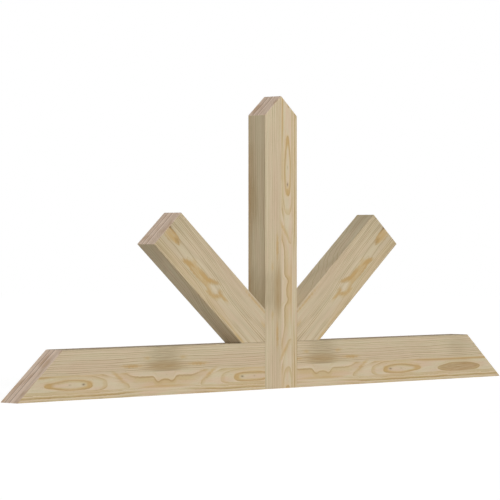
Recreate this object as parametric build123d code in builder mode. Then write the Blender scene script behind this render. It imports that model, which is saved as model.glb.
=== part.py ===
"""Timber gable bracket: a king post, two half chords and two braces, sawn to sit inside one roof slope.

Every timber is the same planed stock with eased long edges. The post runs full height, from the foot to
a point under the ridge. The chords butt against its sides, and each brace stands in the corner between
post and chord. All outer ends are sawn along the two roof slopes, which meet above the post.

Frame: X runs along the chords, Y through the bracket from its front face (-Y) to its back (+Y), and Z is
up. The origin lies under the ridge, halfway through the timber, on the level that the chords stand on.
"""

import os
from math import atan2, cos, degrees, radians, sin

from build123d import *

# Driving dimensions in millimetres and degrees
SPAN = 1524.0  # from tip to tip along the foot of the chords
ROOF_RISE = 10.0  # the roof climbs this much ...
ROOF_RUN = 12.0  # ... over this much
TIMBER_FACE = 101.6  # width of the stock, as seen from the front
TIMBER_DEPTH = 50.8  # thickness of the stock, from front to back
EDGE_RADIUS = 1.2  # the planed long edges are eased to this
BRACE_ANGLE = 39.0  # slope of the braces above level
BRACE_HEEL = 73.2  # along the chord's top, from the post's side to the brace's lower edge

# Worked out from the driving dimensions
HALF_SPAN = SPAN / 2
HEIGHT = HALF_SPAN * ROOF_RISE / ROOF_RUN
ROOF_ANGLE = degrees(atan2(ROOF_RISE, ROOF_RUN))
POST_SIDE = TIMBER_FACE / 2
CHORD_TOP = TIMBER_FACE


def roof_slope(side):
    """The plane of one roof slope, its normal pointing up and out. side is +1 right and -1 left."""
    lean = radians(ROOF_ANGLE)
    return Plane(
        origin=(0, 0, HEIGHT),
        x_dir=(0, 1, 0),
        z_dir=(side * sin(lean), 0, cos(lean)),
    )


def king_post():
    """The upright timber, sawn to a point by both roof slopes."""
    with BuildPart() as post:
        with BuildSketch(Plane.XY):
            RectangleRounded(TIMBER_FACE, TIMBER_DEPTH, EDGE_RADIUS)
        extrude(amount=HEIGHT)
        for side in (1, -1):
            split(bisect_by=roof_slope(side), keep=Keep.BOTTOM)
    return post.part


def half_chord(side):
    """One half of the bottom chord, from the post's side out to its feathered tip."""
    with BuildPart() as chord:
        butt_end = Plane(
            origin=(side * POST_SIDE, 0, CHORD_TOP / 2),
            x_dir=(0, 1, 0),
            z_dir=(side, 0, 0),
        )
        with BuildSketch(butt_end):
            RectangleRounded(TIMBER_DEPTH, TIMBER_FACE, EDGE_RADIUS)
        extrude(amount=HALF_SPAN - POST_SIDE)
        split(bisect_by=roof_slope(side), keep=Keep.BOTTOM)
    return chord.part


def brace(side):
    """A raking timber that stands in the corner between post and chord and ends at the roof slope."""
    lean = radians(BRACE_ANGLE)
    lower_edge = Vector(side * (POST_SIDE + BRACE_HEEL), 0, CHORD_TOP)
    across = Vector(-side * sin(lean), 0, cos(lean))
    middle = lower_edge + across * (TIMBER_FACE / 2)
    with BuildPart() as raker:
        section = Plane(origin=middle, x_dir=across, z_dir=(side * cos(lean), 0, sin(lean)))
        with BuildSketch(section):
            RectangleRounded(TIMBER_FACE, TIMBER_DEPTH, EDGE_RADIUS)
        extrude(amount=HALF_SPAN, both=True)
        split(bisect_by=Plane.XY.offset(CHORD_TOP), keep=Keep.TOP)
        post_side = Plane(origin=(side * POST_SIDE, 0, 0), x_dir=(0, 1, 0), z_dir=(side, 0, 0))
        split(bisect_by=post_side, keep=Keep.TOP)
        split(bisect_by=roof_slope(side), keep=Keep.BOTTOM)
    return raker.part


def write_node(name, part):
    """Label one finished timber and write it to its own file."""
    part.label = name
    export_step(part, f"parts/{name}.step")


os.makedirs("parts", exist_ok=True)
write_node("king_post", king_post())
for side, hand in ((-1, "left"), (1, "right")):
    write_node(f"{hand}_chord", half_chord(side))
    write_node(f"{hand}_brace", brace(side))
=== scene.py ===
# %% [markdown]
# A timber gable bracket, dressed for its picture
#
# This notebook dresses five sawn timbers: a king post, two half chords and two braces. Their sizes and
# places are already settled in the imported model, which we load as a fixed frame. What is left to us is
# everything that the eye meets: the planed softwood with its growth rings, the sawn ends, the eased
# edges, the light and the camera.

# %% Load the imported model
from math import cos, radians, sin, tan

import bpy
import numpy as np
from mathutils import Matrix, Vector


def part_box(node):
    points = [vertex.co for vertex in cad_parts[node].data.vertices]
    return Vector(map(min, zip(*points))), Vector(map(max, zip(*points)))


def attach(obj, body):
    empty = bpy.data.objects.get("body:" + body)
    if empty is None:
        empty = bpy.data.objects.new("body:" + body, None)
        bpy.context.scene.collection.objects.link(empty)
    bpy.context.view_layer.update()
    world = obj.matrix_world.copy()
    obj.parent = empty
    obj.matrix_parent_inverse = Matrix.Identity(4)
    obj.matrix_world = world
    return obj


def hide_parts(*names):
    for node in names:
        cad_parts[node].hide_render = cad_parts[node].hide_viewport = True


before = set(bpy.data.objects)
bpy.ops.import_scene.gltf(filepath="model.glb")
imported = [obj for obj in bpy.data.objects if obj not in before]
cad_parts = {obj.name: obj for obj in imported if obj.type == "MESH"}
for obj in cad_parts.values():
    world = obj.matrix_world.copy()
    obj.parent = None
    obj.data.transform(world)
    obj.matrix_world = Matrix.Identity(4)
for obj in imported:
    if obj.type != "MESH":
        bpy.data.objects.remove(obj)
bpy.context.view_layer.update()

print("nodes:", sorted(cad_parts))

# %% [markdown]
# Sizes of the bracket
#
# All timbers are one stock, so the post's box tells its width and thickness, and the right chord's box
# tells half the span. The roof slope runs from the chords' tips to the ridge. Only the lean of the
# braces and the place of their heel can't be read from a box, so these two are written down. Wood is
# measured in millimetres here, as a carpenter would, and turned into metres when a mesh is made.

# %% Read the driving sizes from the frame
MM = 0.001

post_low, post_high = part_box("king_post")
chord_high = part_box("right_chord")[1]

FACE = (post_high[0] - post_low[0]) / MM
DEPTH = (post_high[1] - post_low[1]) / MM
FRONT = post_low[1] / MM
RIDGE = post_high[2] / MM
HALF_SPAN = chord_high[0] / MM
POST_SIDE = FACE / 2
CHORD_TOP = chord_high[2] / MM
SLOPE = RIDGE / HALF_SPAN
BRACE_LEAN = radians(39.0)
BRACE_HEEL = 73.2

print(f"stock {FACE:.1f} x {DEPTH:.1f} mm, ridge {RIDGE:.1f} mm, half span {HALF_SPAN:.1f} mm")
print(f"roof slope {SLOPE:.4f}, or {12 * SLOPE:.1f} in 12")

# %% [markdown]
# Tools for drawing wood
#
# Growth rings are surfaces in the log, and a board's figure is where a flat saw cut meets them. So we
# describe rings by a number that grows from one ring to the next, for any point in the timber, and let
# the pattern draw itself wherever the number passes a whole ring. Two small helpers shape that number.
# A swell is a soft hill, which makes the rings bulge: cut through, it shows as an eye or an arch. A
# ripple is seeded unevenness, made of a few sine waves, so that no line runs ruler straight. A bell is
# a hill along one number only, which draws lines and rims.

# %% Bells, swells, ripples and soft steps


def bell(off, width, power=2):
    """1 where off is 0, and gone about one width away. A higher power levels its top."""
    return np.exp(-((off / width) ** power))


def swell(along, across, place, reach, flat=1.0, lean=0.0, oblong=2.0):
    """A hill of height 1, gone about one reach away, with a flat top, leaning or oblong if asked."""
    off = along - place[0]
    east, north = off / reach[0], (across - lean * off - place[1]) / reach[1]
    return np.exp(-((np.abs(east) ** oblong + np.abs(north) ** oblong) ** flat))


def hills(along, across, rows):
    """Swells added up. A row has a swell's height, place and reach, then how flat and leaning it is."""
    return sum(height * swell(along, across, *shape) for height, *shape in rows)


def ripple(along, across, deep, seed, length, width, waves=6):
    """Seeded unevenness between about -1 and 1, with hills about this long and this wide, in mm."""
    draw = np.random.default_rng(seed)
    total = np.zeros_like(along)
    for _ in range(waves):
        turns_along = draw.uniform(0.5, 1.6) / length
        turns_across = draw.uniform(0.5, 1.6) / width * draw.choice([-1, 1])
        turns_deep = draw.uniform(0.3, 1.0) / width
        turns = turns_along * along + turns_across * across + turns_deep * deep
        total += np.sin(2 * np.pi * (turns + draw.random()))
    return total / np.sqrt(waves)


def rise(value, low, high):
    """0 below low, 1 above high, and a smooth step between."""
    part = np.clip((value - low) / (high - low), 0, 1)
    return part * part * (3 - 2 * part)


print("a swell, one reach away from its place:", round(float(swell(1.0, 0.0, (0, 0), (1, 1))), 2))

# %% [markdown]
# The rings of post and chords
#
# The photographed stock shows two kinds of figure on one face. The outer half is flat sawn: long eyes
# and arches, because the saw ran along the rings. The inner half is rift sawn: fine straight lines,
# because it crossed them at a slant. A crisp seam parts the two, and each half gets its own ring
# number. The outer figure repeats in mirror image about one place, with a pale bay under the seam
# there, a broad eye on each side and a dark oval further out. So its length is measured from that
# mirror place, and one function serves the post and both chords. It takes the higher of two surfaces:
# straight rings that climb towards the outer edge, and a level that falls in steps towards the eye.

# %% Ring numbers of the flat sawn half
SEAM = 49.6
EYE = (271.5, 30.8)
EYE_REACH = (64.5, 11.3)
OVAL = (476.0, 27.8)
RING_DEPTH = 4.6
CREST = 28.0
EDGE_RING = 7.5
EDGE_FALL = 2.0
SHARPNESS = 4


def bay_edge(along):
    """Where the pale bay under the seam ends: two dips, a shelf, and then up into the seam."""
    return 34 - 4 * bell(along - 19, 8) + 7 * rise(along, 24, 38) + 14 * rise(along, 72, 140)


def bay_inside(along, across):
    """1 inside the pale bay, 0 outside it."""
    below_seam = 1 - rise(across, SEAM - 1, SEAM)
    return rise(across - bay_edge(along), 1, 4) * below_seam * bell(along, 90, 4)


def arch_lag(across):
    """How much later the arch before the eye comes at this place across than at its tip."""
    return 18 * ((across - EYE[1]) / 14) ** 4


def eye_hill(along, across):
    """The hill that draws the eye, blunt at its near end and tapered at its far end."""
    taper = 1 - 0.42 * rise(along, EYE[0], EYE[0] + EYE_REACH[0])
    return swell(along, EYE[1] + (across - EYE[1]) / taper, EYE, EYE_REACH, 1.3, oblong=2.6)


def flat_sawn(from_mirror, across, deep, seed):
    """Ring number of the outer half, whose rings lie almost level with the front."""
    along = np.abs(from_mirror + 0.5 * deep + 1.8 * ripple(from_mirror, across, deep, seed, 70, 40))
    wavy = across + 0.5 * ripple(from_mirror, across, deep, seed + 1, 90, 34)
    wavy += 0.18 * ripple(from_mirror, across, deep, seed + 2, 19, 14)
    first_line = 16.5 - 3.5 * rise(along, 60, 170)
    outer = (first_line - wavy) / np.where(wavy < first_line, EDGE_RING, EDGE_FALL)
    slant = 2.1 * np.maximum(wavy - CREST, 0)
    level = -0.75 * np.tanh((bay_edge(along) - wavy) / 18)
    level -= rise(along - slant, 74, 150)
    level -= rise(along - arch_lag(wavy), 150, 190)
    level -= eye_hill(along, wavy)
    level -= swell(along, wavy, OVAL, (76, 11.6), 3)
    higher = np.logaddexp(SHARPNESS * outer, SHARPNESS * level) / SHARPNESS
    return higher - deep / RING_DEPTH


# %% Ring numbers of the rift sawn half, and where lines fade
RIFT_RING = 3.2
RIFT_SLANT = (0.8, 0.6)


def board_quiet(from_mirror, across):
    """How far the lines of a board fade, from 0 to 1: below the bay, and between bay and eye."""
    along = np.abs(from_mirror)
    below = bell(along, 105, 4) * (1 - rise(across, 17, 24))
    between = 0.65 * swell(along, across, (142, 32), (50, 17), 2)
    return np.clip(below + between * (1 - rise(across, SEAM - 1, SEAM)), 0, 1)


def uneven(rings, share):
    """Good and poor years: at a full share, some rings are three times as wide as others."""
    return rings + share * (0.24 * np.sin(2.3 * rings) + 0.22 * np.sin(0.9 * rings + 1))


def rift_sawn(from_mirror, across, deep, seed):
    """Ring number of the inner half, where the rings slant from the front to the side."""
    wavy = across + 0.7 * ripple(from_mirror, across, deep, seed, 190, 70)
    wavy += 0.15 * ripple(from_mirror, across, deep, seed + 1, 60, 24)
    return uneven((RIFT_SLANT[0] * wavy + RIFT_SLANT[1] * deep) / RIFT_RING, 0.5)


nought = np.array([0.0])
print("the bay's edge at the mirror place is", bay_edge(nought).round(1), "mm in, the seam", SEAM)

# %% [markdown]
# The rings of the braces
#
# The braces are flat sawn over their whole width. Their rings stand close together on both sides of a
# wide, quiet middle, which carries two knotty patches where a branch once pushed the rings aside. That
# middle drifts along the brace, so its lines climb towards the outer end.

# %% Ring numbers of the braces
PATCH = (186.0, 36.0)
WHITE_SPOT = (141.0, 38.5)
PITH = 24.0
BRACE_RING = 3.3
KNOTS = ((0.6, PATCH, (74, 13), 2.5), (0.8, (306, 46), (27, 11), 2))
QUIET = (
    (1.0, (20, 84), (130, 26), 1.5),
    (1.0, (50, 28), (80, 13), 1.5),
    (1.0, WHITE_SPOT, (22, 12), 2),
    (0.7, PATCH, (66, 11), 2),
    (0.4, (200, 10), (90, 11), 2),
)


def knotty(along, across, deep, seed):
    """Ring number of a brace, whose pith lies a little in front of the timber."""
    middle = 23 + 22 * rise(along, 20, 300) + 4 * bell(along - 172, 50)
    off = across - middle + 0.6 * ripple(along, across, deep, seed, 150, 60)
    off += 0.2 * ripple(along, across, deep, seed + 1, 45, 24)
    rings = uneven((np.hypot(off, PITH + 0.6 * deep) - PITH) / BRACE_RING, 0.6)
    return rings + 0.2 - hills(along, across, KNOTS)


def brace_quiet(along, across):
    """How far the lines of a brace fade, from 0 to 1: near the post they hardly show."""
    return np.clip(hills(along, across, QUIET), 0, 1)


print("ring number near a brace's upper edge:", knotty(nought, nought + 90, nought, 1).round(2))

# %% [markdown]
# How wide a ring shows
#
# Where the saw runs almost along a ring, that ring shows as a broad band, and where it crosses it, as a
# thin line. The dark late wood should stay a line of a few millimetres in both. So we also measure the
# gap from ring to ring on the surface, by stepping a little along, across and deep and leaving out the
# step that leaves the surface.

# %% Measure the gap between rings on a surface
TINY = 0.4
WIDEST_GAP = 200.0


def ring_gap(rings_of, places, facing, seed):
    """Ring number at each place, and the distance to the next ring on the surface facing that way."""
    here = rings_of(*places.T, seed)
    steps = TINY * np.eye(3)
    climb = np.stack([(rings_of(*(places + step).T, seed) - here) / TINY for step in steps], -1)
    climb -= facing * (climb * facing).sum(-1, keepdims=True)
    return here, 1 / np.maximum(np.linalg.norm(climb, axis=-1), 1 / WIDEST_GAP)


spot, frontwards = np.array([[0.0, 80.0, 0.0]]), np.array([[0.0, 0.0, 1.0]])
print("gap in the rift sawn half:", ring_gap(rift_sawn, spot, frontwards, 1)[1].round(2), "mm")

# %% [markdown]
# Stains, streaks and knots
#
# Wood is never one colour. The stock has a rosy stretch, a grey-green band at the mirror place, amber
# streaks along the seam and a brown oval. Painting these in a node tree would take a great many nodes,
# and they would be hard to place. Instead each one is a swell with a size in millimetres, and the mesh
# carries their sums as two vectors that the finish reads at every point. Tints are the broad ones:
# rosy, grey-green and brown. Marks are the small ones: amber streaks, dark specks and pale places.

# %% Stains of post and chords
STREAK = (96.0, 63.0)
BOARD_BROWN = (
    (0.12, (476, 42), (60, 7), 2),
    (0.3, (EYE[0] + 53, EYE[1]), (10, 6)),
    (0.7, STREAK, (16, 2)),
)
SIDE_BROWN = ((0.5, (199, 36), (55, 14), 1.5), (0.5, (293, 37), (52, 5)))
BOARD_STREAKS = (
    (1.2, STREAK, (27, 3), 1.3),
    (0.85, (53, 78), (9, 2.8)),
    (0.9, (136, 43.6), (15, 3.6), 1.3, 0.6),
    (0.4, (116, 30), (16, 5), 1.3, 0.57),
    (0.5, (112, 48), (12, 2.4)),
)
BOARD_AMBER = (
    (0.35, (0, 28), (84, 10), 2),
    (0.65, (0, 19), (72, 2.8), 2),
    (0.2, (250, 12.5), (70, 3), 2),
    (1.0, (EYE[0] - 58, EYE[1]), (7, 6), 2),
    (0.8, (EYE[0] + 54, EYE[1] + 1), (12, 5.5), 1.5),
)
BOARD_SPECKS = ((1.2, (EYE[0] - 40.5, EYE[1]), (3.6, 1.6)), (0.5, (EYE[0] - 3, EYE[1]), (3, 1.3)))
BOARD_PALE = ((0.35, (0, 12.5), (62, 4), 2), (0.5, (150, 32), (15, 15), 1.5))


def skin(deep, thickness):
    """1 on the front, fading within this thickness: a stain doesn't run through the timber."""
    return bell(deep, thickness)


def ragged(along, across, deep, seed):
    """Places shifted a little here and there, so that a swell drawn on them gets a ragged outline."""
    shift = ripple(along, across, deep, seed, 26, 9)
    return along + 3 * shift, across + 0.9 * ripple(along, across, deep, seed + 1, 16, 9)


def seam_line(along, across):
    """1 on the amber line along the seam, which drifts a little outwards at the far end."""
    return bell(across - SEAM + 1.2 + 2 * rise(along, 280, 420), 1.6)


def on_rift_side(across):
    """1 on the narrow side that the rift sawn half runs into, 0 elsewhere."""
    return rise(across, FACE - 1.5, FACE - 0.5)


def board_tints(from_mirror, across, deep):
    """Rosy, grey-green and brown, each from 0 to 1, on a post or a chord."""
    along = np.abs(from_mirror)
    inner = rise(across, SEAM - 0.6, SEAM + 0.6)
    rosy = 0.8 * swell(along, across, (215, 66), (130, 16), 1.5) * inner
    rosy += 0.4 * swell(along, across, (110, 36), (16, 12)) * (1 - inner)
    green = bell(along, 48, 3) * rise(across, 46, 62)
    green += 0.6 * swell(along, across, (474, 76), (42, 24), 1.5)
    green *= inner * (0.8 + 0.16 * ripple(from_mirror, across, deep, 5, 60, 8))
    green += 0.14 * bay_inside(along, across)
    oval = swell(along, across, OVAL, (72, 9.6), 3)
    brown = oval * (0.86 + 0.2 * ripple(from_mirror, across, deep, 63, 60, 3.5))
    brown += 0.3 * bell(oval - 0.6, 0.25) * rise(along, 380, 400)
    streaky = 1 + 0.3 * ripple(from_mirror, across, deep, 61, 70, 5)
    brown += 0.73 * streaky * swell(along, across, (0, 61), (62, 10.5), 1.4) * inner
    brown += 0.9 * seam_line(along, across) * rise(along, 280, 350)
    brown += 0.4 * bell(across - bay_edge(along) + 0.9, 1.2) * (1 - rise(along, 66, 90))
    brown = (brown + hills(along, across, BOARD_BROWN)) * skin(deep, 14)
    brown += on_rift_side(across) * (hills(from_mirror, deep, SIDE_BROWN) + 0.6 * rise(deep, 38, 48))
    green += on_rift_side(across) * 0.3 * (1 - rise(deep, 4, 14))
    return rosy, np.clip(green, 0, 1), np.clip(brown, 0, 1)


def board_marks(from_mirror, across, deep):
    """Amber streaks, dark specks and pale places, each from 0 to 1, on a post or a chord."""
    along = np.abs(from_mirror)
    amber = hills(*ragged(along, across, deep, 41), BOARD_STREAKS) + hills(along, across, BOARD_AMBER)
    amber += (0.3 * rise(along, 150, 190) + 0.7 * rise(along, 300, 360)) * seam_line(along, across)
    amber += 0.75 * bell(eye_hill(along, across) - 0.53, 0.19)
    amber += 0.35 * swell(along - arch_lag(across), across, (171, 31), (7, 16), 1.5)
    speck = hills(along, across, BOARD_SPECKS)
    speck += 0.4 * bell(along, 42, 4) * bell(across - SEAM - 2, 1.4)
    pale = 0.25 * bay_inside(along, across) + hills(along, across, BOARD_PALE)
    on_side = 0.5 * swell(from_mirror, deep, (60, 20), (80, 16), 1.5)
    pale += on_rift_side(across) * (on_side + 0.3 * rise(from_mirror, 290, 340))
    amber, speck = (np.clip(mark * skin(deep, 9), 0, 1) for mark in (amber, speck))
    return amber, speck, np.clip(pale, 0, 1)


# %% Stains of the braces
# The orange-brown of the knotty patches
SCORCHED = (
    (1.3, (153, 47), (19, 4.6), 2, -0.42),
    (1.1, (180, 41.5), (20, 5.4), 2),
    (1.7, (236, 31.5), (16, 4.8), 2, -0.3),
    (0.9, (214, 27.2), (33, 1.8), 3, 0.06),
    (1.7, (289, 48.5), (9, 6.2), 2),
    (1.2, (310, 56), (20, 2), 3),
    (0.6, (315, 35), (13, 1.5), 3),
)
BRACE_BROWN = ((0.3, (105, 41), (13, 3)), (0.3, (-10, 94), (6, 3)), (0.3, (36, 20), (10, 2)))
BRACE_ROSY = ((0.5, (110, 88), (130, 24), 1.5), (0.45, (60, 28), (45, 11)))
BRACE_STREAKS = (
    (0.5, (220, 47), (9, 4.5)),
    (1.0, (103, 41), (15, 3.6), 1.3),
    (0.5, (160, 29), (22, 2.6), 2),
    (1.0, (22, 95), (44, 2.4), 1.3),
    (0.7, (-30, 72), (9, 4)),
    (0.9, (310, 46), (22, 8.8), 2),
)
BRACE_AMBER = (
    (0.9, (12, 4), (20, 2.6), 1.5),
    (0.5, (60, 7), (45, 2.2)),
    (0.28, (190, 10), (170, 13), 2),
)
BRACE_SPECKS = ((0.75, (326, 58.5), (5, 4)), (0.6, (317, 57.3), (14, 1.6)))


def bracket(along, across):
    """1 on the olive curve that clasps the white spot from the left and from below."""
    east, north = (along - WHITE_SPOT[0]) / 22, (across - WHITE_SPOT[1]) / 15
    return bell(np.hypot(east, north) - 1, 0.28) * rise(-east - north, -0.1, 0.7)


def brace_tints(along, across, deep):
    """Rosy, grey-green and brown, each from 0 to 1, on a brace."""
    near, over = ragged(along, across, deep, 51)
    rosy = hills(along, across, BRACE_ROSY) * skin(deep, 30)
    green = 0.35 * rise(ripple(along, across, deep, 33, 190, 26), 0, 1.2) + 0.4 * rise(along, 230, 330)
    brown = 0.6 * hills(near, over, SCORCHED) + hills(near, over, BRACE_BROWN)
    brown += 0.4 * bracket(near, over)
    return rosy, green + 0.06, np.clip(brown * skin(deep, 14), 0, 1)


def brace_marks(along, across, deep):
    """Amber streaks, dark specks and pale places, each from 0 to 1, on a brace."""
    near, over = ragged(along, across, deep, 51)
    cloudy = 0.8 + 0.25 * ripple(along, across, deep, 71, 26, 6)
    amber = 0.7 * hills(near, over, SCORCHED) + bracket(near, over)
    amber += cloudy * swell(near, over, (193, 35.5), (46, 10.5), 3)
    amber += hills(near, over, BRACE_STREAKS) + hills(along, across, BRACE_AMBER) + 0.04
    speck = hills(along, across, BRACE_SPECKS) + 0.3 * swell(near, over, (288, 49), (6, 4.5))
    pale = 0.8 * swell(near, over, (WHITE_SPOT[0] - 1, WHITE_SPOT[1] + 0.5), (13, 6), 2)
    amber *= 1 - pale
    return tuple(np.clip(mark * skin(deep, 12), 0, 1) for mark in (amber, speck, 0.8 * pale))


print("amber streaks run", round(STREAK[1] - SEAM, 1), "mm inside the seam")

# %% [markdown]
# The section of a timber
#
# A timber is its section drawn along its length. A plain extrusion with a bevel modifier would do for a
# square cut, but these timbers end in slanted and pointed cuts, and the figure needs vertices to ride
# on. So we lay out a grid of our own: lines across the face and rows through the depth. The four corners
# of the section are eased with small arcs, as a planer leaves them, and the lines crowd together there.

# %% Lines across the face and rows through the depth
EASED = 1.2
ARC_STEPS = 4
LINE_GAP = 1.7
ROW_COUNT = 24
ROW_RIM = np.array([0, 0.25, 0.8]) / DEPTH
ROW_INSIDE = np.linspace(ROW_RIM[2], 1 - ROW_RIM[2], ROW_COUNT - 4)
ROW_SHARES = np.concatenate([ROW_RIM[:2], ROW_INSIDE, 1 - ROW_RIM[1::-1]])


def face_lines(*kept):
    """Places of the lines across the face: arcs at both edges, even steps between the kept places."""
    arc = EASED * (1 - np.cos(np.linspace(0, np.pi / 2, ARC_STEPS + 1)))
    stops = [EASED, *kept, FACE - EASED]
    lines = [arc[:-1]]
    for low, high in zip(stops, stops[1:]):
        steps = round((high - low) / LINE_GAP)
        lines.append(np.linspace(low, high, steps, endpoint=False))
    return np.concatenate([*lines, FACE - arc[::-1]])


def fall_back(across):
    """How far the front lies behind the planed face at this line, because of the eased edges."""
    short = np.clip(EASED - np.minimum(across, FACE - across), 0, EASED)
    return EASED - np.sqrt(EASED**2 - short**2)


def section_grid(lines):
    """Across and deep of every point of the section, as arrays of lines by rows."""
    back = fall_back(lines)[:, None]
    deep = back + (DEPTH - 2 * back) * ROW_SHARES
    return np.repeat(lines[:, None], len(ROW_SHARES), 1), deep


def rim_of(line_count, row_count):
    """Line and row of the rim's points, once round the section, starting up the front."""
    lines, rows = np.arange(line_count), np.arange(row_count)
    last_line, last_row = np.full(row_count - 1, line_count - 1), np.full(line_count - 1, row_count - 1)
    line = np.concatenate([lines, last_line, lines[-2::-1], np.zeros(row_count - 2, int)])
    row = np.concatenate([0 * lines, rows[1:], last_row, rows[-2:0:-1]])
    return line, row


print("grid of a section:", section_grid(face_lines())[0].shape, "points")

# %% [markdown]
# Sides and sawn ends
#
# The rim of the section runs along the grain in stations, which lean gradually to meet the slanted
# cuts. A sawn end is the section's grid once more, moved to the saw's plane. It shares its outermost
# points with the sides, and the next ones lie a little further out until they reach the plane. That
# rounds the rim, as sandpaper leaves it. Every face is a quad and every edge has two of them, so the
# mesh is closed.

# %% Points and quads of the sides
STATION_GAP = 4.0


def side_points(lines, starts, stops, breaks):
    """Points of the four sides, as an array of stations by rim by (along, across, deep)."""
    across, deep = section_grid(lines)
    line, row = rim_of(*across.shape)
    stations = round((stops.max() - starts.min()) / STATION_GAP)
    share = np.linspace(0, 1, stations + 1)[:, None]
    low, high = starts[line] + breaks[0], stops[line] - breaks[1]
    along = low + (high - low) * share
    rim = np.stack([across[line, row], deep[line, row]], -1)
    return np.concatenate([along[..., None], np.broadcast_to(rim, (stations + 1, *rim.shape))], -1)


def side_quads(stations, around):
    """Four point numbers for each face of the sides."""
    here = np.arange(around)
    after = np.roll(here, -1)
    one_row = np.stack([here, after, after + around, here + around], -1)
    return (one_row + around * np.arange(stations)[:, None, None]).reshape(-1, 4)


# %% Points and quads of a sawn end


def cells_of(grid, outwards):
    """The four corners of each cell of a section's grid, in the order that faces outwards."""
    corners = np.stack([grid[:-1, :-1], grid[1:, :-1], grid[1:, 1:], grid[:-1, 1:]], 2)
    corners = corners.reshape(-1, 4, *grid.shape[2:])
    return corners if outwards > 0 else corners[:, ::-1]


def end_points(lines, cut, rim_break, outwards):
    """Points inside the rim of an end, which rise from the rim to the saw's plane."""
    across, deep = (grid[1:-1, 1:-1] for grid in section_grid(lines))
    to_side = np.minimum(across, FACE - across)
    to_face = np.minimum(deep, DEPTH - deep) - fall_back(across)
    short = rim_break - np.minimum(np.minimum(to_side, to_face), rim_break)
    short = np.clip(short, 0, rim_break)
    back = rim_break - np.sqrt(rim_break**2 - short**2)
    along = cut[1:-1, None] - outwards * back
    return np.stack([along, across, deep], -1).reshape(-1, 3)


def end_quads(shape, rim_start, inner_start, outwards):
    """Four point numbers for each face of an end, facing outwards."""
    number = np.empty(shape, int)
    line, row = rim_of(*shape)
    number[line, row] = rim_start + np.arange(len(line))
    inner_shape = (shape[0] - 2, shape[1] - 2)
    number[1:-1, 1:-1] = inner_start + np.arange(inner_shape[0] * inner_shape[1]).reshape(inner_shape)
    return cells_of(number, outwards)


print("faces of one end:", len(end_quads(section_grid(face_lines())[0].shape, 0, 0, 1)))

# %% [markdown]
# A map that the finish can be baked through
#
# Other programs can't read our node trees, so the finish is baked to pictures later. A good map for
# that keeps straight grain straight and wastes little room. The four sides take most of it, one strip
# above the other, drawn larger across the grain than along it, because that is where the detail is. The
# two ends stand beside them.

# %% Lay out the map
MAP_RIM = 0.006
STRIP_LENGTH = 0.84
STRIP_SCALE = (1 - 5 * MAP_RIM) / (2 * FACE + 2 * DEPTH)
END_LEFT = STRIP_LENGTH + 2 * MAP_RIM
END_SIZE = (1 - END_LEFT - MAP_RIM, 0.47)
END_BOTTOMS = (MAP_RIM, 0.52)


def side_map(points, line_count, row_count):
    """Map places of the side quads' corners."""
    along, across, deep = points[..., 0], points[0, :, 1], points[0, :, 2]
    far = MAP_RIM + STRIP_LENGTH * (along - along.min()) / np.ptp(along)
    counts = (line_count - 1, row_count - 1, line_count - 1, row_count - 1)
    strips = [width * STRIP_SCALE + MAP_RIM for width in (FACE, DEPTH, FACE)]
    bottoms = MAP_RIM + np.cumsum([0, *strips])
    bottom = np.repeat(bottoms, counts)
    on_face = np.repeat([True, False, True, False], counts)
    here = bottom + STRIP_SCALE * np.where(on_face, across, deep)
    after = bottom + STRIP_SCALE * np.where(on_face, np.roll(across, -1), np.roll(deep, -1))
    far_after = np.roll(far, -1, 1)
    corner_far = np.stack([far[:-1], far_after[:-1], far_after[1:], far[1:]], -1)
    corner_high = np.broadcast_to(np.stack([here, after, after, here], -1), corner_far.shape)
    return np.stack([corner_far, corner_high], -1).reshape(-1, 4, 2)


def end_map(lines, bottom, outwards):
    """Map places of an end's corners, beside the strips."""
    across, deep = section_grid(lines)
    flat = np.stack([END_LEFT + END_SIZE[0] * deep / DEPTH, bottom + END_SIZE[1] * across / FACE], -1)
    return cells_of(flat, outwards)


stretch = STRIP_SCALE * HALF_SPAN / STRIP_LENGTH
print(f"the map is {stretch:.1f} times as large across the grain as along it")

# %% [markdown]
# Put one timber together
#
# Sides and ends are joined into one set of points and quads. For each point we also note which way its
# surface faces in the timber, because the ring gap needs that. A sawn end faces along the grain, so the
# same note tells the finish where to change to end grain.

# %% Join sides and ends


def timber_arrays(lines, starts, stops, breaks):
    """Everything about a timber's mesh, in its own coordinates of along, across and deep."""
    shape = (len(lines), len(ROW_SHARES))
    sides = side_points(lines, starts, stops, breaks)
    stations, around = len(sides) - 1, sides.shape[1]
    inner = (shape[0] - 2) * (shape[1] - 2)
    rim_count = (stations + 1) * around
    first = end_points(lines, starts, breaks[0], -1)
    last = end_points(lines, stops, breaks[1], 1)
    quads = [
        side_quads(stations, around),
        end_quads(shape, 0, rim_count, -1),
        end_quads(shape, stations * around, rim_count + inner, 1),
    ]
    end_maps = [end_map(lines, *place) for place in zip(END_BOTTOMS, (-1, 1))]
    line, row = rim_of(*shape)
    on_side = ((line == 0) | (line == shape[0] - 1)) & (row > 0) & (row < shape[1] - 1)
    rim_facing = np.where(on_side[:, None], (0.0, 1.0, 0.0), (0.0, 0.0, 1.0))
    end_facing = np.tile((1.0, 0.0, 0.0), (2 * inner, 1))
    facing = np.concatenate([np.tile(rim_facing, (stations + 1, 1)), end_facing])
    return {
        "places": np.concatenate([sides.reshape(-1, 3), first, last]),
        "quads": np.concatenate(quads),
        "corners": np.concatenate([side_map(sides, *shape), *end_maps]),
        "facing": facing,
    }


square = 0 * face_lines()
trial = timber_arrays(face_lines(), square, square + 300, (0.6, 0.6))
print("a trial timber of 300 mm has", len(trial["quads"]), "quads")

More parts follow.
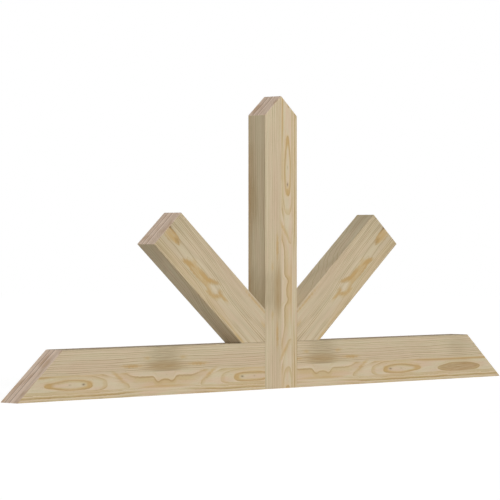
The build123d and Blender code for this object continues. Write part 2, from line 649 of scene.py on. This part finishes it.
# %% [markdown]
# Where each timber runs
#
# Each timber has a corner to start from, a direction along its grain and a direction across its face,
# both in the plane of the front. Its slanted ends follow from the roof slope, the post's sides and the
# chords' top, so they are worked out and not typed in. The flat sawn half of the stock faces down in
# the chords and to the right in the post, as in the picture. Free ends get a broken rim, and ends that
# meet another timber stay crisp, so that the joints close.

# %% Plans of post, chords and braces
FREE_END = 0.6
JOINED_END = 0.05


def post_plan():
    """The king post runs up from the floor, and both roof slopes cut it to a point."""
    lines = face_lines(POST_SIDE)
    stops = RIDGE - SLOPE * np.abs(POST_SIDE - lines)
    return (POST_SIDE, 0.0), (0.0, 1.0), (-1.0, 0.0), (lines, 0 * lines, stops, (FREE_END, FREE_END))


def chord_plan(side):
    """A half chord runs outwards from the post's side to its feathered tip."""
    lines = face_lines()
    stops = HALF_SPAN - POST_SIDE - lines / SLOPE
    ends = (lines, 0 * lines, stops, (JOINED_END, FREE_END))
    return (side * POST_SIDE, 0.0), (side, 0.0), (0.0, 1.0), ends


def brace_plan(side):
    """A brace leans outwards from the corner of post and chord, up to the roof slope."""
    level, upright = cos(BRACE_LEAN), sin(BRACE_LEAN)
    heel = POST_SIDE + BRACE_HEEL
    lines = face_lines(BRACE_HEEL * upright)
    starts = np.maximum(-lines / tan(BRACE_LEAN), (lines * upright - BRACE_HEEL) / level)
    room = RIDGE - CHORD_TOP - SLOPE * heel
    stops = (room - lines * (level - SLOPE * upright)) / (upright + SLOPE * level)
    along, across = (side * level, upright), (-side * upright, level)
    return (side * heel, CHORD_TOP), along, across, (lines, starts, stops, (JOINED_END, FREE_END))


brace_ends = brace_plan(1)[3]
print("a brace is", round(float(brace_ends[2].max() - brace_ends[1].min())), "mm long over all")

# %% [markdown]
# From arrays to a piece
#
# The arrays become a mesh, and the figure becomes five vectors on its points. The timber's own
# coordinates go along as the vector grain, so that fibres and pores in the finish run with the wood and
# not with the world. Three of the timbers are laid out left handed, and their quads are turned over so
# that all faces look outwards.

# %% Places, objects and vectors


def to_world(places, corner, along, across):
    """Timber places in millimetres to scene places in metres."""
    x = corner[0] + places[:, 0] * along[0] + places[:, 1] * across[0]
    z = corner[1] + places[:, 0] * along[1] + places[:, 1] * across[1]
    return np.stack([x, FRONT + places[:, 2], z], -1) * MM


def add_object(name, data):
    """A new object in the scene, for this mesh, lamp or camera."""
    made = bpy.data.objects.new(name, data)
    bpy.context.scene.collection.objects.link(made)
    return made


def fill(data, values):
    """Write an array of vectors into mesh data."""
    data.foreach_set("vector", np.ascontiguousarray(values, dtype=np.float32).ravel())


# %% Make a mesh that carries its figure
# Ring numbers and seeds of both halves, then where lines fade, and the stains. A brace has no seam.
BOARD = (((flat_sawn, 11), (rift_sawn, 18)), board_quiet, board_tints, board_marks)
BRACE = (((knotty, 31), (knotty, 31)), brace_quiet, brace_tints, brace_marks)


def figure_of(arrays, kind, start):
    """Rings, gaps, tints and marks of a timber of this kind, measured from this far along."""
    halves, quiet, tints, marks = kind
    places, facing = arrays["places"] - (start, 0, 0), arrays["facing"]
    outer, inner = (ring_gap(rings_of, places, facing, seed) for rings_of, seed in halves)
    return {
        "rings": (outer[0], inner[0], facing[:, 0]),
        "gaps": (outer[1], inner[1], quiet(*places.T[:2])),
        "tints": tints(*places.T),
        "marks": marks(*places.T),
    }


def make_timber(name, plan, kind, start):
    """One timber as a closed mesh of quads, with its map and its figure."""
    corner, along, across, ends = plan
    arrays = timber_arrays(*ends)
    quads, corners = arrays["quads"], arrays["corners"]
    if along[0] * across[1] > along[1] * across[0]:
        quads, corners = quads[:, ::-1], corners[:, ::-1]
    mesh = bpy.data.meshes.new(name)
    mesh.from_pydata(to_world(arrays["places"], corner, along, across).tolist(), [], quads.tolist())
    fill(mesh.uv_layers.new(name="OFBake").uv, corners)
    mesh.polygons.foreach_set("use_smooth", [True] * len(quads))
    for vector, columns in {"grain": arrays["places"].T, **figure_of(arrays, kind, start)}.items():
        fill(mesh.attributes.new(vector, "FLOAT_VECTOR", "POINT").data, np.stack(columns, -1))
    edges = np.sort(np.stack([quads, np.roll(quads, -1, 1)], -1).reshape(-1, 2), 1)
    closed = (np.unique(edges, axis=0, return_counts=True)[1] == 2).all()
    print(name, len(quads), "quads, closed" if closed else "quads, open")
    return add_object(name, mesh)


# %% [markdown]
# A short way to write node trees
#
# A finish is a tree of nodes, and each node takes several lines of code to add, set and link. A small
# class keeps that short: every method adds nodes, takes numbers, colours or other nodes' outputs as
# inputs, and returns an output, so that a tree reads like arithmetic.

# %% The recipe class


def linear(red, green, blue):
    """A colour as seen on a screen, 0 to 255, as the linear colour that shaders want."""
    share = np.array([red, green, blue]) / 255
    return (*np.where(share <= 0.04045, share / 12.92, ((share + 0.055) / 1.055) ** 2.4), 1.0)


class Recipe:
    """Adds nodes to one tree. An input may be a number, a colour or another node's output."""

    def __init__(self, tree):
        self.tree = tree

    def give(self, socket, value):
        if isinstance(value, bpy.types.NodeSocket):
            self.tree.links.new(value, socket)
        else:
            socket.default_value = value

    def node(self, kind, inputs, **settings):
        """A new node. Its inputs are given by name or number, its settings as keywords."""
        made = self.tree.nodes.new(kind)
        for name, value in settings.items():
            setattr(made, name, value)
        for socket, value in inputs.items():
            self.give(made.inputs[socket], value)
        return made

    def math(self, operation, *values):
        return self.node("ShaderNodeMath", dict(enumerate(values)), operation=operation).outputs[0]

    def times(self, first, *others):
        """The product of all values."""
        for other in others:
            first = self.math("MULTIPLY", first, other)
        return first

    def step(self, value, low, high, bottom=0.0, top=1.0):
        """Smoothly from bottom to top, while the value goes from low to high."""
        inputs = dict(enumerate((value, low, high, bottom, top)))
        return self.node("ShaderNodeMapRange", inputs, interpolation_type="SMOOTHSTEP").outputs[0]

    def number_mix(self, amount, first, second):
        """From the first number to the second, by this amount."""
        return self.node("ShaderNodeMix", {0: amount, 2: first, 3: second}).outputs[0]

    def colour_mix(self, amount, first, second, kind="MIX"):
        """The second colour laid over the first, by this amount."""
        inputs = {0: amount, 6: first, 7: second}
        return self.node("ShaderNodeMix", inputs, data_type="RGBA", blend_type=kind).outputs[2]

    def carried(self, name):
        """The vector of this name that the mesh carries, whole and as three numbers."""
        whole = self.node("ShaderNodeAttribute", {}, attribute_name=name).outputs["Vector"]
        return whole, self.node("ShaderNodeSeparateXYZ", {0: whole}).outputs

    def noise(self, vector, stretch, detail=2.0, roughness=0.5, shift=0.0):
        """Noise whose hills are about this long, in millimetres, along, across and deep."""
        scale = tuple(1 / length for length in stretch)
        inputs = {"Vector": vector, "Scale": scale, "Location": (shift, 0.7 * shift, 0.4 * shift)}
        moved = self.node("ShaderNodeMapping", inputs).outputs[0]
        inputs = {"Vector": moved, "Scale": 1.0, "Detail": detail, "Roughness": roughness}
        return self.node("ShaderNodeTexNoise", inputs).outputs[0]


print("amber, as shaders want it:", [round(float(part), 3) for part in linear(160, 128, 76)])

# %% [markdown]
# Late wood: the dark edge of each ring
#
# A conifer's ring is pale where it grew in spring and darkens towards autumn, then ends sharply. So
# along the fraction of the ring number we raise the darkness slowly and drop it fast, over a width that
# stays a few millimetres whatever the gap. Rings differ: each gets its own strength from white noise on
# its whole number, and a patchy noise fades it here and there.

# %% Find the late wood
LINE_WIDTH = (5.2, 1.6)
GLOW_WIDTH = (20.0, 3.4)
HALO_WIDTH = (8.0, 2.5)


def find_late_wood(r, grain, rings, gaps, inner, shift):
    """Late wood, the yellow glow before it and the pale halo after it, each from 0 to 1."""
    ring = r.number_mix(inner, rings[0], rings[1])
    gap = r.number_mix(inner, gaps[0], gaps[1])
    wobble = r.math("SUBTRACT", r.noise(grain, (30, 4, 4), 3.0, 0.55, shift + 3), 0.5)
    sway = r.math("DIVIDE", 1.2, r.math("MAXIMUM", gap, 6.0))
    ring = r.math("MULTIPLY_ADD", wobble, sway, ring)
    part = r.math("FRACT", ring)
    narrow = r.math("MAXIMUM", inner, rings[2])

    def share_of(widths, least, most):
        width = r.number_mix(narrow, widths[0], widths[1])
        return r.math("MINIMUM", r.math("MAXIMUM", r.math("DIVIDE", width, gap), least), most)

    share = share_of(LINE_WIDTH, 0.08, 0.60)
    begin = r.math("SUBTRACT", 1.0, share)
    full = r.math("MULTIPLY_ADD", share, -0.35, 1.0)
    fade = r.math("MULTIPLY_ADD", share, -0.22, 1.0)
    late = r.times(r.step(part, begin, full), r.step(part, fade, 1.0, 1.0, 0.0))
    glow = r.step(part, r.math("SUBTRACT", 1.0, share_of(GLOW_WIDTH, 0.2, 0.95)), begin)
    halo = r.step(part, 0.0, share_of(HALO_WIDTH, 0.1, 0.6), 1.0, 0.0)
    year = r.math("FLOOR", ring)
    each = r.node("ShaderNodeTexWhiteNoise", {"W": year}, noise_dimensions="1D").outputs[0]
    patchy = r.noise(grain, (60, 12, 12), 2.0, 0.5, shift + 5)
    own = r.number_mix(inner, r.step(each, 0.0, 0.5, 0.7, 1.0), r.step(each, 0.0, 0.8, 0.35, 1.0))
    loud = r.math("MULTIPLY_ADD", gaps[2], -0.8, 1.0)
    strength = r.times(own, r.step(patchy, 0.3, 0.6, 0.55, 1.0), loud)
    return tuple(r.times(layer, strength) for layer in (late, glow, halo))


# %% [markdown]
# Colours of the long grain
#
# From the ground up: two pale tones in broad drifts, a yellow glow before the late wood and a pale halo
# after it, the late wood itself, amber in the flat sawn half and olive in the rift sawn one, and then
# the stains. Last come the fibres and the tiny brown dashes of resin canals, which only show close by.

# %% Colour the long grain
PALE = linear(204, 191, 162)
PALE_ROSY = linear(206, 184, 158)
GLOW = linear(192, 170, 122)
HALO = linear(214, 197, 170)
AMBER = linear(158, 129, 76)
OLIVE = linear(142, 123, 90)
ROSY = linear(197, 170, 146)
GREY_GREEN = linear(156, 142, 112)
BROWN = linear(164, 134, 88)
HONEY = linear(190, 158, 104)
BLEACHED = linear(213, 201, 174)
SPECK = linear(92, 70, 44)


def long_grain_colour(r, grain, layers, inner, tints, marks, fibre, shift):
    """Colour of the planed faces."""
    late, glow, halo = layers
    broad = r.noise(grain, (90, 13, 13), 3.0, 0.55, shift + 9)
    drift = r.times(r.step(broad, 0.38, 0.62), r.number_mix(inner, 1.0, 0.5))
    colour = r.colour_mix(drift, PALE, PALE_ROSY)
    colour = r.colour_mix(r.times(glow, r.number_mix(inner, 0.75, 0.25)), colour, GLOW)
    colour = r.colour_mix(r.times(halo, r.number_mix(inner, 0.85, 0.4)), colour, HALO)
    shown = r.times(late, r.number_mix(inner, 0.7, 0.95))
    colour = r.colour_mix(shown, colour, r.colour_mix(inner, AMBER, OLIVE))
    grainy = r.step(r.noise(grain, (40, 2.6, 2.6), 3.0), 0.2, 0.7, 0.55, 1.0)
    stains = (
        (tints[0], 0.5, ROSY),
        (tints[1], 0.7, GREY_GREEN),
        (tints[2], 0.95, BROWN),
        (marks[0], 0.95, HONEY),
    )
    for amount, share, tint in stains:
        colour = r.colour_mix(r.times(amount, grainy, share), colour, tint)
    colour = r.colour_mix(r.times(marks[2], 0.8), colour, BLEACHED)
    colour = r.colour_mix(r.times(marks[1], 0.85), colour, SPECK)
    colour = r.colour_mix(r.step(fibre, 0.3, 0.75, 0.18, 0.0), colour, OLIVE)
    dash = r.noise(grain, (7, 0.5, 0.5), 1.0, 0.4, shift + 17)
    return r.colour_mix(r.step(dash, 0.71, 0.78, 0.0, 0.4), colour, SPECK)


# %% [markdown]
# Colours of the sawn ends
#
# Across the grain the same rings show as arcs, and the cut fibres drink light and look rosy brown. The
# saw leaves faint scratches. Because the ring number is known inside the timber too, the arcs on an end
# meet the lines on the faces beside it. Two hard years run through all the stock as dark bands, each
# with a bleached one in front of it.

# %% Colour the sawn ends
END_PALE = linear(234, 212, 191)
END_DARK = linear(150, 124, 104)
END_WARM = linear(213, 185, 157)
END_LIGHT = linear(244, 224, 208)
DARK_YEARS = (24.5, 37.0)


def sawn_colour(r, grain, deep, late, saw, shift):
    """Colour of the sawn ends."""
    bands = r.noise(grain, (300, 300, 7), 2.0, 0.5, shift + 25)
    warm = r.noise(grain, (50, 50, 22), 1.0, 0.5, shift + 29)
    speckle = r.noise(grain, (1.1, 1.1, 1.1), 3.0, 0.6, shift + 21)
    colour = r.colour_mix(r.step(warm, 0.5, 0.66), END_PALE, END_WARM)
    colour = r.colour_mix(r.step(bands, 0.4, 0.62, 0.22, 0.0), colour, END_DARK)
    colour = r.colour_mix(r.times(late, 0.3), colour, END_DARK)
    wave = r.noise(grain, (60, 60, 400), 2.0, 0.5, shift + 31)
    for year in DARK_YEARS:
        off = r.math("SUBTRACT", deep, r.math("MULTIPLY_ADD", wave, 4.0, year - 2.0))
        bleached = r.times(r.step(off, -6.0, -3.0), r.step(off, -2.0, -0.5, 0.6, 0.0))
        colour = r.colour_mix(bleached, colour, END_LIGHT)
        dark = r.times(r.step(off, -1.2, 0.0), r.step(off, 0.5, 2.5, 0.68, 0.0))
        colour = r.colour_mix(dark, colour, END_DARK)
    colour = r.colour_mix(r.step(speckle, 0.35, 0.7, 0.18, 0.0), colour, END_DARK)
    return r.colour_mix(r.step(saw, 0.35, 0.6, 0.12, 0.0), colour, END_DARK)


# %% [markdown]
# The planed fir
#
# The parts come together in one material. It is bare wood, so it is rough, a little smoother on the
# hard late wood and rougher on the sawn ends. The bump is small: late wood stands about a tenth of a
# millimetre proud after planing, fibres less, and the saw's scratches more. The narrow side that the
# rift sawn half runs into, the top of a chord and the left side of the post, gets a painted shade: its
# colour is darkened so that it looks darker than the lamps alone make it.

# %% Put the finish together
# painted shade, multiplied onto the narrow rift side: the chords' tops and the post's left side
PAINTED_SIDE_SHADE = linear(206, 200, 191)
ROUGHNESS = 0.66
GLOSS = 0.1
BUMP_STRENGTH = 0.6


def planed_fir(name, seam_at, painted_shade, shift):
    """Bare planed fir that reads the rings, gaps, tints and marks of its timber. painted_shade, 0 to 1,
    is how much painted shade darkens the narrow rift side.
    """
    material = bpy.data.materials.new(name)
    material.use_nodes = True
    shader = material.node_tree.nodes["Principled BSDF"]
    r = Recipe(material.node_tree)
    grain, place = r.carried("grain")
    rings, gaps, tints, marks = (r.carried(vector)[1] for vector in ("rings", "gaps", "tints", "marks"))
    seam_wave = r.noise(grain, (90, 400, 400), shift=shift)
    inner = r.math("GREATER_THAN", place[1], r.math("MULTIPLY_ADD", seam_wave, 1.6, seam_at - 0.8))
    layers = find_late_wood(r, grain, rings, gaps, inner, shift)
    late, sawn = layers[0], rings[2]
    fibre = r.noise(grain, (46, 0.75, 0.75), 3.0, 0.6, shift + 11)
    saw = r.noise(grain, (1.6, 60, 1.4), 2.0, 0.5, shift + 23)
    long_grain = long_grain_colour(r, grain, layers, inner, tints, marks, fibre, shift)
    # painted shade on the narrow rift side, so it looks darker than the lamps alone make it
    on_side = r.step(place[1], FACE - 0.6, FACE - 0.1, 0.0, painted_shade)
    long_grain = r.colour_mix(on_side, long_grain, PAINTED_SIDE_SHADE, "MULTIPLY")
    colour = r.colour_mix(sawn, long_grain, sawn_colour(r, grain, place[2], late, saw, shift))
    r.give(shader.inputs["Base Color"], colour)
    rough = r.math("MULTIPLY_ADD", late, -0.10, ROUGHNESS)
    rough = r.math("MULTIPLY_ADD", fibre, 0.08, rough)
    r.give(shader.inputs["Roughness"], r.math("MULTIPLY_ADD", sawn, 0.14, rough))
    shader.inputs["Specular IOR Level"].default_value = GLOSS
    height = r.math("MULTIPLY_ADD", fibre, 0.10, r.times(late, 0.10))
    height = r.math("MULTIPLY_ADD", r.times(saw, sawn), 0.35, height)
    bump = r.node("ShaderNodeBump", {"Height": height, "Strength": BUMP_STRENGTH, "Distance": MM})
    r.give(shader.inputs["Normal"], bump.outputs[0])
    print(name, "has", len(r.tree.nodes), "nodes")
    return material


# %% [markdown]
# Build all five
#
# The three finishes are one recipe with different noise, because the timbers come from different
# boards. Each dressed timber takes the place of its imported node and rides on the one body that the
# bracket has. The braces have no seam, so theirs is put outside the timber.

# %% Dress the timbers
NO_SEAM = -10.0
POST_MIRROR = 212.0
LEFT_CHORD_MIRROR = 302.2
RIGHT_CHORD_MIRROR = 82.0

# painted_shade sets how far painted shade darkens the chords' tops and the post's left side; the braces
# get none
fir_post = planed_fir("planed fir of the post", SEAM, painted_shade=0.45, shift=1.0)
fir_chord = planed_fir("planed fir of the chords", SEAM, painted_shade=1.0, shift=4.0)
fir_brace = planed_fir("planed fir of the braces", NO_SEAM, painted_shade=0.0, shift=8.0)

timbers = (
    ("king_post", post_plan(), BOARD, POST_MIRROR, fir_post, "fir_post"),
    ("left_chord", chord_plan(-1), BOARD, LEFT_CHORD_MIRROR, fir_chord, "fir_chord"),
    ("right_chord", chord_plan(1), BOARD, RIGHT_CHORD_MIRROR, fir_chord, "fir_chord"),
    ("left_brace", brace_plan(-1), BRACE, 0.0, fir_brace, "fir_brace"),
    ("right_brace", brace_plan(1), BRACE, 0.0, fir_brace, "fir_brace"),
)
for node, plan, kind, start, finish, slot in timbers:
    piece = make_timber(f"planed_{node}", plan, kind, start)
    piece.data.materials.append(finish)
    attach(piece, "root")
    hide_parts(node)

# %% [markdown]
# Floor and surroundings
#
# The picture has a bare white ground. A white floor lit by lamps alone would have to be lit far too
# brightly, so the camera sees the floor mostly as an even white glow, to which the lamplight is added,
# and a shadow still shows in that part. A gloss sees the same, and all other light meets a plain pale
# floor. The world is done the same way: white for the camera, and a soft grey light for the timbers.

# %% Make the floor and the world
FLOOR_HALF = 8.0
FLOOR_GLOW = 0.84
FLOOR_LIT = (0.32, 0.32, 0.32, 1)
FLOOR_PLAIN = (0.8, 0.8, 0.8, 1)
WHITE = (1, 1, 1, 1)
WORLD_LEVEL = 0.20


def empty_recipe(owner):
    """A recipe for the emptied node tree of a material or world."""
    owner.use_nodes = True
    owner.node_tree.nodes.clear()
    return Recipe(owner.node_tree)


def camera_sees(r, kind, shown, otherwise):
    """Mix two shaders: camera and gloss see one of them, and all other light meets the other."""
    path = r.node("ShaderNodeLightPath", {}).outputs
    mirrored = r.math("MAXIMUM", path["Is Glossy Ray"], path["Is Transmission Ray"])
    seen = r.math("MAXIMUM", path["Is Camera Ray"], mirrored)
    both = r.node("ShaderNodeMixShader", {0: seen, 1: otherwise.outputs[0], 2: shown.outputs[0]})
    r.node(kind, {0: both.outputs[0]})


def make_floor():
    """A wide level floor, white to the camera and pale to all other light."""
    mesh = bpy.data.meshes.new("floor")
    turns = ((-1, -1), (1, -1), (1, 1), (-1, 1))
    mesh.from_pydata([(FLOOR_HALF * x, FLOOR_HALF * y, 0) for x, y in turns], [], [(0, 1, 2, 3)])
    floor = add_object("floor", mesh)
    material = bpy.data.materials.new("pale floor")
    r = empty_recipe(material)
    plain = r.node("ShaderNodeBsdfDiffuse", {"Color": FLOOR_PLAIN})
    lit = r.node("ShaderNodeBsdfDiffuse", {"Color": FLOOR_LIT})
    glow = r.node("ShaderNodeEmission", {"Strength": FLOOR_GLOW})
    shown = r.node("ShaderNodeAddShader", {0: lit.outputs[0], 1: glow.outputs[0]})
    camera_sees(r, "ShaderNodeOutputMaterial", shown, plain)
    mesh.materials.append(material)


def make_world():
    """White to the camera, and a soft grey light for the timbers."""
    world = bpy.data.worlds.new("studio")
    bpy.context.scene.world = world
    r = empty_recipe(world)
    soft = r.node("ShaderNodeBackground", {"Color": WHITE, "Strength": WORLD_LEVEL})
    white = r.node("ShaderNodeBackground", {"Color": WHITE, "Strength": 1.0})
    camera_sees(r, "ShaderNodeOutputWorld", white, soft)


make_floor()
make_world()
print("floor", 2 * FLOOR_HALF, "m wide, world level", WORLD_LEVEL)

# %% [markdown]
# Lamps
#
# The picture is lit softly from the front and a little from the right. The left sides of the timbers
# are a third darker than the fronts, and the sawn ends, which face up and left, lie between. One broad
# sun does the fronts. A weaker one from the left, a little above level, lifts the sides and ends. It
# casts no shadows, because the post's would fall on the right brace, where the picture has none. A
# third one from behind lights the backs.

# %% Three soft suns


def sun(name, towards, strength, spread, shadows=True):
    """A sun that shines from this direction, wide enough for soft shadows."""
    lamp = bpy.data.lights.new(name, "SUN")
    lamp.energy = strength
    lamp.angle = radians(spread)
    lamp.use_shadow = shadows
    add_object(name, lamp).rotation_euler = Vector(towards).to_track_quat("Z", "Y").to_euler()
    print(name, "strength", strength)


sun("key", (0.40, -0.91, 0.08), strength=3.1, spread=40)
sun("left fill", (-0.94, 0.0, 0.34), strength=1.7, spread=50, shadows=False)
sun("back fill", (0.35, 0.93, 0.06), strength=2.3, spread=14)

# %% [markdown]
# The camera
#
# The photograph was taken from far away on the left with a long lens, level, at half the bracket's
# height. Its place was worked out from the straight edges of the timbers. The horizon lies a little
# above the middle of the picture, which a small shift of the lens gives without tilting the camera.

# %% Place the camera
camera_data = bpy.data.cameras.new("camera")
camera_data.sensor_width = 36
camera_data.lens = 194.185
camera_data.shift_y = -0.0158
camera = add_object("camera", camera_data)
camera.location = (-4.28493, -4.02045, 0.31781)
camera.rotation_euler = (radians(90), 0, radians(-46.342))
bpy.context.scene.camera = camera
bpy.context.scene.view_settings.view_transform = "Standard"
print("camera", round(Vector(camera.location).length, 2), "m from the bracket's foot")
